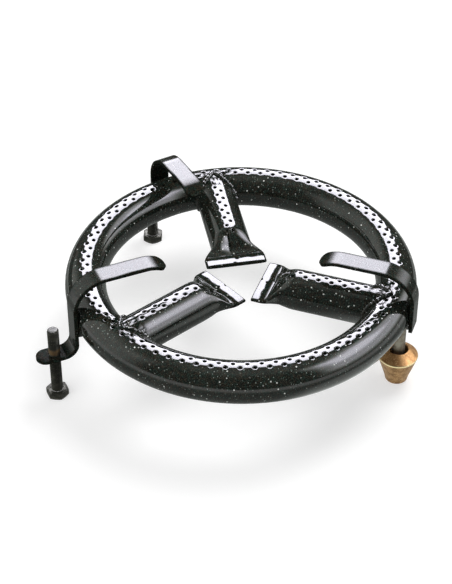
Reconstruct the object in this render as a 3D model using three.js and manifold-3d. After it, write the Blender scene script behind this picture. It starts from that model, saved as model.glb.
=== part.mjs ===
// Ring gas burner with bent flat-bar pot supports. It stands on two levelling bolts and on its gas inlet.
// Millimetres, +Z up. The model is drawn about the ring's centre, with z = 0 on the ring tube's
// centreline, and is set down at the end so that its origin is the bottom centre of its box.

import * as THREE from 'three';
import { mergeVertices } from 'three/addons/utils/BufferGeometryUtils.js';
import Module from 'manifold-3d';

const wasm = await Module();
wasm.setup();

// ---------------------------------------------------------------- driving dimensions

const SEAT_GAP = 0.3; // between two pieces that touch

// gas tubes: the ring and its three spokes are cut from one size of tube
const RING_RADIUS = 132.5; // ring centre to tube centreline
const TUBE_DIAMETER = 35;
const TUBE_WALL = 2;

// flame ports, in two staggered rows along the top of every tube
const PORT_DIAMETER = 2.8;
const PORT_ROW_SPACING = 4.6;
const RING_PORTS_PER_ROW = 72;
const SPOKE_PORT_PITCH = 11.4;

// spokes: round tube that ends in a flat, closed lip
const SPOKE_ANGLES = { back: 101.5, left: 221.5, right: 341.5 };
const LIP_RADIUS = 17.5; // ring centre to the lip's edge
const LIP_DEPTH = 8;
const LIP_WIDTH = 53;
const FLARE_LENGTH = 27;
const PORTED_FLARE = 0.25; // share of the flare that still has ports
const JUNCTION_BORE = 25; // gas way from the ring into a spoke

// brackets: flat bar bent into arm, leg and foot tab
const BAR_WIDTH = 17;
const BAR_THICKNESS = 3;
const SUPPORT_HEIGHT = 43.5; // ring centreline to the top of the arm
const TOP_BEND_RADIUS = 28; // bend radii are those of the bar's middle
const FOOT_BEND_RADIUS = 11;
const TIP_LENGTH = 9.5; // last stretch of the arm, which is bent down
const TIP_BEND_RADIUS = 30;
const TIP_DROP = 6;
const TIP_CORNER_RADIUS = 7;
const TAB_DEPTH = 28.5; // ring centreline down to the middle of the foot tab
const TAB_MARGIN = 16; // bolt axis to the tab's round end
const BOLT_OFFSET = 18; // leg's middle to the bolt axis
const PLAIN_LEG_DEPTH = 13.5; // ring centreline to the end of the leg that has no foot tab
const BRACKETS = {
  back: { angle: 119.5, tipRadius: 78, foot: true, shankLength: 50 },
  left: { angle: 204, tipRadius: 70, foot: true, shankLength: 65 },
  right: { angle: 341.5, tipRadius: 70, foot: false },
};
const LUG_WIDTH = 12;
const LUG_DEPTH = 13.5; // ring centreline to the lug's underside
const LUG_TOP = 5;
const LUG_REACH = 9; // how far the lug runs in under the ring, where the inlet pipe leaves room

// levelling bolts: M10 hexagon bolts, head down, as long as the brackets' shankLength says
const FOOT_DEPTH = 72.5; // ring centreline to the ground
const BOLT_DIAMETER = 10;
const BOLT_HEAD_FLATS = 17;
const BOLT_HEAD_HEIGHT = 6.4;
const BOLT_CHAMFER = 1;
const BOLT_HOLE_PLAY = 0.3;

// gas inlet: pipe from the ring into a tapered mixer cup, with the gas jet in the cup's floor.
// The cup stands on the ground as the third foot. Heights in the cup are above its base.
const PIPE_LUG_THICKNESS = 2.7; // lug that fills the room between the inlet pipe and the right leg
const INLET_ANGLE = 341.5;
const PIPE_DIAMETER = 11;
const PIPE_BORE = 7.5;
const AIR_HOLE_DIAMETER = 4;
const AIR_HOLES = 4;
const CUP_BASE_DIAMETER = 19.5;
const CUP_RIM_DIAMETER = 34.4;
const CUP_RIM_HEIGHT = 26;
const CUP_TOP_HEIGHT = 33;
const CUP_MOUTH_DIAMETER = 16;
const CUP_WALL = 3;
const CUP_EDGE = 1; // rounding of the base and the rim
const CUP_FLOOR_HEIGHT = 18.5;
const PIPE_SOCKET_DEPTH = 4.5;
const SUPPLY_BORE = 8; // side socket for the gas supply
const SUPPLY_HEIGHT = 6;
const SUPPLY_ANGLE = 90; // the way the side socket faces
const JET_DIAMETER = 6;
const JET_SEAT_DEPTH = 2.5; // from the socket's floor down to the jet's seat
const JET_GALLERY = 3;
const JET_ORIFICE = 1.2;
const JET_TIP = 1; // how far the jet reaches past the socket's floor

// how round the round things are
const TUBE_SIDES = 16;
const BORE_SIDES = 12;
const PORT_SIDES = 6;
const TURNED_SIDES = 24;
const BOLT_SIDES = 16;
const BEND_STEPS = 6;

const TUBE_RADIUS = TUBE_DIAMETER / 2;
const BORE_RADIUS = TUBE_RADIUS - TUBE_WALL;
const LEG_RADIUS = RING_RADIUS + TUBE_RADIUS + SEAT_GAP + BAR_THICKNESS / 2; // to the leg's middle
const LEG_FACE = LEG_RADIUS - BAR_THICKNESS / 2 - SEAT_GAP; // how far out a lug may reach
const PIPE_FACE = LEG_FACE - PIPE_LUG_THICKNESS;
const INLET_RADIUS = PIPE_FACE - SEAT_GAP - PIPE_DIAMETER / 2; // ring centre to the inlet's axis

// ---------------------------------------------------------------- materials

const enamel = new THREE.MeshStandardMaterial({ color: 0x14201c, roughness: 0.15, metalness: 0.0 });
const blackSteel = new THREE.MeshStandardMaterial({ color: 0x1b1b1a, roughness: 0.45, metalness: 0.6 });
const brass = new THREE.MeshStandardMaterial({ color: 0xa98243, roughness: 0.35, metalness: 1.0 });
const pipeSteel = new THREE.MeshStandardMaterial({ color: 0x8f8a80, roughness: 0.4, metalness: 1.0 });

// ---------------------------------------------------------------- helpers

const radians = THREE.MathUtils.degToRad;

// radius of a polygon whose flats touch a circle of the given radius
const around = (radius, sides) => radius / Math.cos(Math.PI / sides);

function solidFrom(geometry) {
  const bare = geometry.index ? geometry.toNonIndexed() : geometry.clone();
  for (const name of Object.keys(bare.attributes)) {
    if (name !== 'position') bare.deleteAttribute(name);
  }
  const merged = mergeVertices(bare, 1e-4);
  return new wasm.Manifold(new wasm.Mesh({
    numProp: 3,
    vertProperties: new Float32Array(merged.attributes.position.array),
    triVerts: new Uint32Array(merged.index.array),
  }));
}

function geometryFrom(solid) {
  const mesh = solid.getMesh();
  const geometry = new THREE.BufferGeometry();
  geometry.setAttribute('position', new THREE.BufferAttribute(mesh.vertProperties.slice(), 3));
  geometry.setIndex(new THREE.BufferAttribute(mesh.triVerts.slice(), 1));
  geometry.computeVertexNormals();
  return geometry;
}

const joined = (solids) => solids.reduce((whole, solid) => whole.add(solid));

function piece(name, solid, material) {
  const mesh = new THREE.Mesh(geometryFrom(solid), material.clone());
  mesh.name = name;
  return mesh;
}

// upright cylinder from z = low to z = high
function rod(radius, low, high, sides = TURNED_SIDES) {
  const geometry = new THREE.CylinderGeometry(radius, radius, high - low, sides);
  geometry.rotateX(Math.PI / 2).translate(0, 0, (low + high) / 2);
  return solidFrom(geometry);
}

// solid of revolution about z, from a closed outline of [radius, z] points, anticlockwise
function turned(outline, sides = TURNED_SIDES) {
  const points = [...outline, outline[0]].map(([r, z]) => new THREE.Vector2(r, z));
  const geometry = new THREE.LatheGeometry(points, sides);
  geometry.rotateX(Math.PI / 2);
  return solidFrom(geometry);
}

function torus(tubeRadius, tubeSides) {
  return solidFrom(new THREE.TorusGeometry(RING_RADIUS, tubeRadius, tubeSides, RING_PORTS_PER_ROW));
}

// the room that a piece welded to the ring leaves for it
const ringRoom = torus(around(TUBE_RADIUS + SEAT_GAP, TUBE_SIDES), TUBE_SIDES);

// closed skin over a row of sections, each a list of [x, y, z] points going round
function loft(sections) {
  const sides = sections[0].length;
  const points = sections.flat(2);
  const last = (sections.length - 1) * sides;
  const faces = [];
  for (let i = 0; i + 1 < sections.length; i += 1) {
    for (let j = 0; j < sides; j += 1) {
      const a = i * sides + j;
      const b = i * sides + ((j + 1) % sides);
      faces.push(a, b, b + sides, a, b + sides, a + sides);
    }
  }
  for (let j = 1; j + 1 < sides; j += 1) {
    faces.push(0, j + 1, j, last, last + j, last + j + 1);
  }
  const geometry = new THREE.BufferGeometry();
  geometry.setAttribute('position', new THREE.Float32BufferAttribute(points, 3));
  geometry.setIndex(faces);
  return solidFrom(geometry);
}

// ---------------------------------------------------------------- ring

function portDrill(x, y) {
  const low = BORE_RADIUS - TUBE_WALL;
  return rod(PORT_DIAMETER / 2, low, TUBE_RADIUS + TUBE_WALL, PORT_SIDES).translate(x, y, 0);
}

function ringPortDrills() {
  const drills = [];
  const step = 360 / RING_PORTS_PER_ROW;
  for (let i = 0; i < RING_PORTS_PER_ROW; i += 1) {
    const inner = radians((i + 0.5) * step);
    const outer = radians(i * step);
    const innerRadius = RING_RADIUS - PORT_ROW_SPACING / 2;
    const outerRadius = RING_RADIUS + PORT_ROW_SPACING / 2;
    drills.push(portDrill(innerRadius * Math.cos(inner), innerRadius * Math.sin(inner)));
    drills.push(portDrill(outerRadius * Math.cos(outer), outerRadius * Math.sin(outer)));
  }
  return drills;
}

function junctionBore(angle) {
  const low = RING_RADIUS - 2 * TUBE_RADIUS;
  return rod(JUNCTION_BORE / 2, low, RING_RADIUS, BORE_SIDES).rotate([0, 90, 0]).rotate([0, 0, angle]);
}

const inletX = INLET_RADIUS * Math.cos(radians(INLET_ANGLE));
const inletY = INLET_RADIUS * Math.sin(radians(INLET_ANGLE));

function ringTube() {
  const inletBore = rod(PIPE_BORE / 2, -TUBE_DIAMETER, 0, BORE_SIDES).translate(inletX, inletY, 0);
  const cuts = [
    torus(BORE_RADIUS, BORE_SIDES),
    inletBore,
    ...Object.values(SPOKE_ANGLES).map(junctionBore),
    ...ringPortDrills(),
  ];
  return torus(TUBE_RADIUS, TUBE_SIDES).subtract(joined(cuts));
}

// ---------------------------------------------------------------- spokes, drawn along +X

const lipStart = LIP_RADIUS + LIP_DEPTH;
const flareStart = lipStart + FLARE_LENGTH;
const spokeEnd = RING_RADIUS - TUBE_RADIUS / 3;

// section of the tube at x: round in the straight, wide and flat in the lip
function spokeSection(x, inset, sides) {
  const along = THREE.MathUtils.clamp((flareStart - x) / FLARE_LENGTH, 0, 1);
  const flatness = THREE.MathUtils.smootherstep(along, 0, 1);
  const halfWidth = THREE.MathUtils.lerp(TUBE_RADIUS, LIP_WIDTH / 2, along * along) - inset;
  const halfHeight = THREE.MathUtils.lerp(TUBE_RADIUS, TUBE_WALL, flatness) - inset;
  const squareness = THREE.MathUtils.lerp(1, 0.6, flatness);
  const points = [];
  for (let i = 0; i < sides; i += 1) {
    const turn = ((i + 0.5) / sides) * 2 * Math.PI;
    const across = Math.sign(Math.cos(turn)) * Math.abs(Math.cos(turn)) ** squareness;
    const up = Math.sign(Math.sin(turn)) * Math.abs(Math.sin(turn)) ** squareness;
    points.push([x, halfWidth * across, halfHeight * up]);
  }
  return points;
}

function spokeTube() {
  const flare = (part) => flareStart - part * FLARE_LENGTH;
  const outerStations = [LIP_RADIUS, lipStart, flare(0.85), flare(0.7), flare(0.55), flare(0.4),
    flare(0.25), flareStart, spokeEnd];
  const innerStations = [flare(0.8), flare(0.65), flare(0.45), flare(0.25), flareStart,
    spokeEnd + TUBE_WALL];
  const skin = loft(outerStations.map((x) => spokeSection(x, 0, TUBE_SIDES)));
  const hollow = loft(innerStations.map((x) => spokeSection(x, TUBE_WALL, BORE_SIDES)));
  const drills = [];
  const halfPitch = SPOKE_PORT_PITCH / 2;
  let side = 1;
  for (let x = RING_RADIUS - TUBE_RADIUS - halfPitch; x > flare(PORTED_FLARE); x -= halfPitch) {
    drills.push(portDrill(x, (side * PORT_ROW_SPACING) / 2));
    side = -side;
  }
  return skin.subtract(joined([hollow, ...drills]));
}

function addSpokes(group) {
  for (const [side, angle] of Object.entries(SPOKE_ANGLES)) {
    const tube = spokeTube().rotate([0, 0, angle]).subtract(ringRoom);
    group.add(piece(`spoke_${side}`, tube, enamel));
  }
}

// ---------------------------------------------------------------- brackets, drawn along +X

// outline of a bar of the given thickness bent at each inner corner of a path of [x, z, radius]
function bentBar(path, thickness) {
  const left = [];
  const right = [];
  const half = thickness / 2;
  const corner = path.map(([x, z]) => new THREE.Vector2(x, z));
  const side = (point, along, list, offset) => {
    list.push(new THREE.Vector2(point.x - along.y * offset, point.y + along.x * offset));
  };
  const pushBoth = (point, along) => {
    side(point, along, left, half);
    side(point, along, right, -half);
  };
  const first = corner[1].clone().sub(corner[0]).normalize();
  pushBoth(corner[0], first);
  for (let i = 1; i + 1 < path.length; i += 1) {
    const into = corner[i].clone().sub(corner[i - 1]).normalize();
    const out = corner[i + 1].clone().sub(corner[i]).normalize();
    const turn = Math.atan2(into.cross(out), into.dot(out));
    const radius = path[i][2];
    const start = corner[i].clone().addScaledVector(into, -radius * Math.tan(Math.abs(turn) / 2));
    const inward = new THREE.Vector2(-into.y, into.x).multiplyScalar(Math.sign(turn));
    const centre = start.clone().addScaledVector(inward, radius);
    for (let step = 0; step <= BEND_STEPS; step += 1) {
      const swept = (turn * step) / BEND_STEPS;
      const along = into.clone().rotateAround(new THREE.Vector2(), swept);
      pushBoth(start.clone().rotateAround(centre, swept), along);
    }
  }
  const end = corner[corner.length - 1];
  pushBoth(end, end.clone().sub(corner[corner.length - 2]).normalize());
  return new THREE.Shape([...left, ...right.reverse()]);
}

// plan outline of the flat bar: round corners at the tip, and a round end on the foot tab
function barPlan(from, to, roundEnd) {
  const half = BAR_WIDTH / 2;
  const r = TIP_CORNER_RADIUS;
  const plan = new THREE.Shape();
  plan.moveTo(from + r, -half);
  if (roundEnd) {
    plan.absarc(to - half, 0, half, -Math.PI / 2, Math.PI / 2);
  } else {
    plan.lineTo(to, -half);
    plan.lineTo(to, half);
  }
  plan.absarc(from + r, half - r, r, Math.PI / 2, Math.PI);
  plan.absarc(from + r, r - half, r, Math.PI, 1.5 * Math.PI);
  return plan;
}

function extruded(shape, depth) {
  const settings = { depth, bevelEnabled: false, curveSegments: BEND_STEPS };
  return solidFrom(new THREE.ExtrudeGeometry(shape, settings));
}

// a side outline in x and z, made as wide as asked, with its middle on y = 0
const acrossBar = (shape, width) => extruded(shape, width).translate(0, 0, -width / 2).rotate([90, 0, 0]);

const boltX = LEG_RADIUS + BOLT_OFFSET;

function bracketBar({ tipRadius, foot }) {
  const armZ = SUPPORT_HEIGHT - BAR_THICKNESS / 2;
  const tabEnd = boltX + TAB_MARGIN;
  const path = [
    [tipRadius, armZ - TIP_DROP],
    [tipRadius + TIP_LENGTH, armZ, TIP_BEND_RADIUS],
    [LEG_RADIUS, armZ, TOP_BEND_RADIUS],
  ];
  if (foot) {
    path.push([LEG_RADIUS, -TAB_DEPTH, FOOT_BEND_RADIUS], [tabEnd, -TAB_DEPTH]);
  } else {
    path.push([LEG_RADIUS, -PLAIN_LEG_DEPTH]);
  }
  const bar = acrossBar(bentBar(path, BAR_THICKNESS), BAR_WIDTH);
  const reach = foot ? tabEnd : LEG_RADIUS + BAR_THICKNESS;
  const plan = extruded(barPlan(tipRadius, reach, foot), 2 * FOOT_DEPTH).translate(0, 0, -FOOT_DEPTH);
  const whole = bar.intersect(plan);
  if (!foot) return whole;
  const holeRadius = around(BOLT_DIAMETER / 2 + BOLT_HOLE_PLAY, TURNED_SIDES);
  const hole = rod(holeRadius, -TAB_DEPTH - BAR_THICKNESS, -TAB_DEPTH + BAR_THICKNESS);
  return whole.subtract(hole.translate(boltX, 0, 0));
}

// gusset in the corner between the leg and the ring's lower side
function weldLug({ foot }) {
  const inner = foot ? LEG_FACE - LUG_REACH : PIPE_FACE;
  const corners = [[inner, -LUG_TOP], [inner, -LUG_DEPTH], [LEG_FACE, -LUG_DEPTH], [LEG_FACE, -LUG_TOP]];
  const shape = new THREE.Shape(corners.map(([x, z]) => new THREE.Vector2(x, z)));
  return acrossBar(shape, LUG_WIDTH);
}

// ---------------------------------------------------------------- levelling bolts

// head down, with its axis on z and the head's face on z = 0
function levellingBolt(shankLength) {
  const flats = BOLT_HEAD_FLATS / 2;
  const corners = around(flats, 6);
  const hexagon = rod(corners, 0, BOLT_HEAD_HEIGHT, 6);
  const chamferCone = turned([
    [0, 0],
    [flats - BOLT_CHAMFER / 2, 0],
    [corners + SEAT_GAP, BOLT_CHAMFER],
    [corners + SEAT_GAP, BOLT_HEAD_HEIGHT],
    [0, BOLT_HEAD_HEIGHT],
  ]);
  const radius = BOLT_DIAMETER / 2;
  const end = BOLT_HEAD_HEIGHT + shankLength;
  const shank = turned([
    [0, BOLT_HEAD_HEIGHT / 2],
    [radius, BOLT_HEAD_HEIGHT / 2],
    [radius, end - BOLT_CHAMFER],
    [radius - BOLT_CHAMFER, end],
    [0, end],
  ], BOLT_SIDES);
  return hexagon.intersect(chamferCone).add(shank);
}

function addBrackets(group) {
  for (const [side, bracket] of Object.entries(BRACKETS)) {
    const turn = [0, 0, bracket.angle];
    const lug = weldLug(bracket).rotate(turn).subtract(ringRoom);
    group.add(piece(`bracket_${side}`, bracketBar(bracket).rotate(turn), enamel));
    group.add(piece(`ring_lug_${side}`, lug, enamel));
    if (bracket.foot) {
      const bolt = piece(`levelling_bolt_${side}`, levellingBolt(bracket.shankLength), blackSteel);
      const angle = radians(bracket.angle);
      bolt.position.set(boltX * Math.cos(angle), boltX * Math.sin(angle), -FOOT_DEPTH);
      group.add(bolt);
    }
  }
}

// ---------------------------------------------------------------- gas inlet

const socketFloor = CUP_FLOOR_HEIGHT - PIPE_SOCKET_DEPTH;
const jetSeat = socketFloor - JET_SEAT_DEPTH;

function mixerCup() {
  const rim = CUP_RIM_DIAMETER / 2;
  const mouth = CUP_MOUTH_DIAMETER / 2;
  const base = CUP_BASE_DIAMETER / 2;
  const socket = PIPE_DIAMETER / 2 + SEAT_GAP;
  const seat = JET_DIAMETER / 2 + SEAT_GAP;
  const body = turned([
    [0, 0],
    [base - CUP_EDGE, 0],
    [base, CUP_EDGE],
    [rim - CUP_EDGE / 2, CUP_RIM_HEIGHT - 1.5 * CUP_EDGE],
    [rim, CUP_RIM_HEIGHT - CUP_EDGE],
    [rim - CUP_EDGE / 2, CUP_RIM_HEIGHT],
    [mouth + 1.5 * CUP_EDGE, CUP_TOP_HEIGHT - CUP_EDGE / 2],
    [mouth + CUP_EDGE, CUP_TOP_HEIGHT],
    [mouth, CUP_TOP_HEIGHT - CUP_EDGE / 2],
    [mouth, CUP_TOP_HEIGHT - CUP_WALL],
    [rim - CUP_WALL, CUP_RIM_HEIGHT - CUP_EDGE],
    [base, CUP_FLOOR_HEIGHT],
    [socket, CUP_FLOOR_HEIGHT],
    [socket, socketFloor],
    [seat, socketFloor],
    [seat, jetSeat],
    [JET_GALLERY / 2, jetSeat],
    [JET_GALLERY / 2, SUPPLY_HEIGHT],
    [0, SUPPLY_HEIGHT],
  ]);
  const supply = rod(SUPPLY_BORE / 2, 0, CUP_RIM_DIAMETER).rotate([0, 90, 0]).rotate([0, 0, SUPPLY_ANGLE]);
  return body.subtract(supply.translate(0, 0, SUPPLY_HEIGHT));
}

function inletPipe() {
  const end = socketFloor + SEAT_GAP - FOOT_DEPTH;
  const bore = rod(PIPE_BORE / 2, end - PIPE_BORE, PIPE_BORE, BORE_SIDES);
  const holeZ = CUP_FLOOR_HEIGHT + AIR_HOLE_DIAMETER - FOOT_DEPTH;
  const holes = [];
  for (let i = 0; i < AIR_HOLES; i += 1) {
    const drill = rod(AIR_HOLE_DIAMETER / 2, 0, PIPE_DIAMETER, BORE_SIDES).rotate([0, 90, 0]);
    holes.push(drill.rotate([0, 0, (i * 360) / AIR_HOLES]).translate(0, 0, holeZ));
  }
  const tube = rod(PIPE_DIAMETER / 2, end, 0).subtract(joined([bore, ...holes]));
  return tube.translate(inletX, inletY, 0).subtract(ringRoom);
}

function gasJet() {
  const low = jetSeat + SEAT_GAP;
  const high = socketFloor + JET_TIP;
  return turned([
    [JET_ORIFICE / 2, low],
    [JET_DIAMETER / 2, low],
    [JET_DIAMETER / 2, high],
    [JET_ORIFICE / 2, high],
  ], BOLT_SIDES);
}

function addInlet(group) {
  const cup = piece('mixer_cup', mixerCup(), brass);
  const jet = piece('gas_jet', gasJet(), brass);
  cup.position.set(inletX, inletY, -FOOT_DEPTH);
  jet.position.set(inletX, inletY, -FOOT_DEPTH);
  group.add(cup, jet, piece('inlet_pipe', inletPipe(), pipeSteel));
}

// ---------------------------------------------------------------- assembly

const burner = new THREE.Group();
burner.add(piece('ring_tube', ringTube(), enamel));
addSpokes(burner);
addBrackets(burner);
addInlet(burner);

const box = new THREE.Box3().setFromObject(burner, true);
const middle = box.getCenter(new THREE.Vector3());
burner.position.set(-middle.x, -middle.y, -box.min.z);

export default burner;
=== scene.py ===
# %% [markdown]
# # A ring gas burner, dressed in Blender
# The burner is a steel ring with three spokes inside it, all drilled with flame ports and coated with
# speckled black enamel. Three bent bars carry the pot. The solids come as a frame that never moves, and
# each step below makes one kind of piece, or one finish, and lays it over them.

# %% Load the frame
from math import atan2, copysign, cos, degrees, hypot, pi, radians, sin, sqrt, tan

import bmesh
import bpy
from mathutils import Matrix, Vector
from mathutils.noise import noise


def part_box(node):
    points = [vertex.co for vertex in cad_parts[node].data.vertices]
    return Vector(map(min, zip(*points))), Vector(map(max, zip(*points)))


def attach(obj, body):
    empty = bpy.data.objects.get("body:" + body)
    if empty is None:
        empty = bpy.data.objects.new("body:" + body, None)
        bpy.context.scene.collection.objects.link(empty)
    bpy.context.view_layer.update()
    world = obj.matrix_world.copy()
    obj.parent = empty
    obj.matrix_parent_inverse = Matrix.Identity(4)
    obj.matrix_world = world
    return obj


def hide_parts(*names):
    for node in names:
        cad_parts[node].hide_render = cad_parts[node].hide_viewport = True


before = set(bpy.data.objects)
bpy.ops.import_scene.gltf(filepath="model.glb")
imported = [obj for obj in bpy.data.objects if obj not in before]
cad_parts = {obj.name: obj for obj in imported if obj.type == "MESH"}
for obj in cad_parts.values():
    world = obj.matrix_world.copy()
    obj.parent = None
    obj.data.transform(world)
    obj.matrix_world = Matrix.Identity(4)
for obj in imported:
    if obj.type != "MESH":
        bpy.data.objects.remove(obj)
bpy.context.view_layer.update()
print("nodes:", ", ".join(sorted(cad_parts)))

# %% [markdown]
# ## Where the drawing starts
# Every spoke and bracket is set out from the ring's centre. So all pieces below are drawn in millimetres
# about it, with z = 0 on the tube's centreline, and only the last step of making a mesh turns them into
# the frame's metres.

# %% Ring centre and sizes
MM = 0.001
ring_low, ring_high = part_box("ring_tube")
CENTRE = (ring_low + ring_high) / 2
GROUND = -CENTRE.z / MM

RING = 132.5          # ring centre to the tube's centreline
TUBE = 17.5           # radius of the tube
SPOKES = {"back": 101.5, "left": 221.5, "right": 341.5}
BRACKETS = {"back": (119.5, 78, True), "left": (204, 70, True), "right": (341.5, 70, False)}
print("ring centre", [round(v, 4) for v in CENTRE], "ground", round(GROUND, 2))

# %% [markdown]
# ## The camera
# The photograph looks down at the ring from the front, through a long lens. Its place was worked out
# from the two edges of the ring's tube. A camera is a matrix whose columns are right, up and backwards,
# so those three directions are written straight from pitch, yaw and roll.

# %% Camera
EYE = Vector((0, -1150, 930.17))                  # mm from the ring's centre
FOCAL_LENGTH, IMAGE_LONG_SIDE = 1729.31, 584      # both in pixels of the photograph
SENSOR = 36                                       # mm


def linked(name, data):
    """A new object in the scene."""
    made = bpy.data.objects.new(name, data)
    bpy.context.scene.collection.objects.link(made)
    return made


pitch, yaw, roll = map(radians, (39.4555, -0.6326, 0.0282))
forward = Vector((sin(yaw) * cos(pitch), cos(yaw) * cos(pitch), -sin(pitch)))
level = Vector((cos(yaw), -sin(yaw), 0))
above = level.cross(forward)
right = cos(roll) * level + sin(roll) * above
up = cos(roll) * above - sin(roll) * level

camera = linked("camera", bpy.data.cameras.new("camera"))
facing = Matrix((right, up, -forward)).transposed().to_4x4()
camera.matrix_world = Matrix.Translation(EYE * MM + CENTRE) @ facing
camera.data.sensor_width = SENSOR
camera.data.lens = FOCAL_LENGTH / IMAGE_LONG_SIDE * SENSOR
camera.data.clip_end = 50
bpy.context.scene.camera = camera
print("lens", round(camera.data.lens, 1), "mm")

# %% [markdown]
# ## Writing a material as arithmetic
# A procedural material is a sum of patterns. To keep it readable, a socket is wrapped in a small class
# whose + and * add Math nodes. One method makes every other node.

# %% Shader expressions
class Wire:
    """One output socket in a material. Arithmetic on it adds Math nodes."""

    def __init__(self, tree, socket):
        self.tree, self.socket = tree, socket

    def node(self, kind, sockets=None, settings=None, output=0):
        """A new node with wires or plain values on its sockets, as a wire from one of its outputs."""
        made = self.tree.nodes.new(kind)
        for key, value in (settings or {}).items():
            setattr(made, key, value)
        for key, value in (sockets or {}).items():
            if isinstance(value, Wire):
                self.tree.links.new(value.socket, made.inputs[key])
            else:
                made.inputs[key].default_value = value
        return Wire(self.tree, made.outputs[output])

    def other(self, output):
        """Another output of the same node."""
        return Wire(self.tree, self.socket.node.outputs[output])

    def math(self, operation, *terms):
        return self.node("ShaderNodeMath", dict(enumerate(terms)), {"operation": operation})

    def mixed(self, low, high):
        """The colour low where this is 0, and high where it is 1."""
        low, high = (c if isinstance(c, Wire) else (*c, 1) for c in (low, high))
        return self.node("ShaderNodeMix", {0: self, 6: low, 7: high}, {"data_type": "RGBA"}, 2)

    def between(self, low, high):
        """0 below low, 1 above high and smooth in between."""
        sockets = {"Value": self, "From Min": low, "From Max": high}
        return self.node("ShaderNodeMapRange", sockets, {"interpolation_type": "SMOOTHSTEP"})

    def __add__(self, other): return self.math("ADD", self, other)
    def __radd__(self, other): return self.math("ADD", other, self)
    def __sub__(self, other): return self.math("SUBTRACT", self, other)
    def __rsub__(self, other): return self.math("SUBTRACT", other, self)
    def __mul__(self, other): return self.math("MULTIPLY", self, other)
    def __rmul__(self, other): return self.math("MULTIPLY", other, self)


def new_material(name):
    """An empty material, and a wire on the place of the point that is shaded, in metres."""
    material = bpy.data.materials.new(name)
    material.use_nodes = True
    material.node_tree.nodes.clear()
    place = Wire(material.node_tree, None).node("ShaderNodeTexCoord", output="Object")
    return material, place


def cloud(place, size, detail):
    """Soft noise whose lumps are about size millimetres across."""
    return place.node("ShaderNodeTexNoise", {"Vector": place, "Scale": 1 / (size * MM), "Detail": detail})


def bumped(height, depth):
    """A normal from a height of 0 to 1 that stands for depth millimetres."""
    return height.node("ShaderNodeBump", {"Height": height, "Strength": 1.0, "Distance": depth * MM})


def painted(place, name):
    """The value from 0 to 1 that the mesh itself carries under a name."""
    return place.node("ShaderNodeAttribute", settings={"attribute_name": name}, output=2)


def band(height, rises_from, full_from, full_to, falls_to):
    """1 between two heights and 0 beyond the outer two, all given in millimetres."""
    return height.between(rises_from * MM, full_from * MM) * (1 - height.between(full_to * MM, falls_to * MM))


def surface_of(material, shader):
    output = material.node_tree.nodes.new("ShaderNodeOutputMaterial")
    material.node_tree.links.new(shader.socket, output.inputs["Surface"])
    print(material.name, "has", len(material.node_tree.nodes), "nodes")
    return material


def finish(name, recipe, **choices):
    """A material whose surface shader takes the values and wires that recipe(place) puts on its sockets."""
    material, place = new_material(name)
    return surface_of(material, place.node("ShaderNodeBsdfPrincipled", recipe(place, **choices)))


# %% [markdown]
# ## Speckled enamel
# Vitreous enamel is glass fused onto steel. Here it is nearly black with a green cast, smooth enough to
# mirror a window, with a fine brown and green speckle and pale flecks of two sizes. The flecks are the
# middles of Voronoi cells: a cell's distance gives a round dot, and its random colour decides how bright
# the dot is or leaves it out. All gloss is the shader's coat. The glass thins out over sharp edges and on
# weld metal, so each mesh carries a value named "dull" that takes the coat away there.

# %% Enamel
GLASS = (0.0035, 0.0036, 0.003), (0.0085, 0.0105, 0.0088)          # its two shades, thick and thin
SPECKLE = (0.074, 0.06, 0.04), (0.038, 0.074, 0.058)               # brown and green
SMALL_FLECK, LARGE_FLECK = (0.25, 0.3, 0.27), (0.92, 0.95, 0.9)


def flecks(place, spacing, radius, share):
    """Round dots, spacing mm apart, on a share of the cells, each with its own brightness."""
    cells = place.node("ShaderNodeTexVoronoi", {"Vector": place, "Scale": 1 / (spacing * MM)})
    colour = cells.other("Color")
    luck = colour.node("ShaderNodeSeparateColor", {0: colour})
    edge = radius / spacing
    dot = 1 - cells.between(edge * 0.5, edge)
    return dot * luck.between(1 - share, 1.0)


def enamel(place, gloss, clarity, cover, speckle, pebble):
    """The coat's roughness, IOR and weight, the flecks' strength, and the grain's depth in mm."""
    mottle = cloud(place, 14, 4).between(0.35, 0.7)
    grain = cloud(place, 0.8, 3)
    tint = cloud(place, 2.6, 2).between(0.4, 0.62)
    colour = (grain.between(0.42, 0.72) * 0.75).mixed(mottle.mixed(*GLASS), tint.mixed(*SPECKLE))
    colour = (flecks(place, 2.0, radius=0.55, share=0.5) * speckle).mixed(colour, SMALL_FLECK)
    colour = (flecks(place, 5.0, radius=0.85, share=0.75) * speckle).mixed(colour, LARGE_FLECK)
    return {"Base Color": colour, "Specular IOR Level": 0.0, "Roughness": mottle * 0.2 + 0.5,
            "Normal": bumped(grain, pebble), "Coat Weight": (1 - painted(place, "dull")) * cover,
            "Coat Roughness": gloss, "Coat IOR": clarity}


ENAMEL = finish("enamel", enamel, gloss=0.07, clarity=1.52, cover=1.0, speckle=1.0, pebble=0.1)
BAR_ENAMEL = finish("bar_enamel", enamel, gloss=0.15, clarity=1.45, cover=0.83, speckle=0.25, pebble=0.012)
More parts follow.
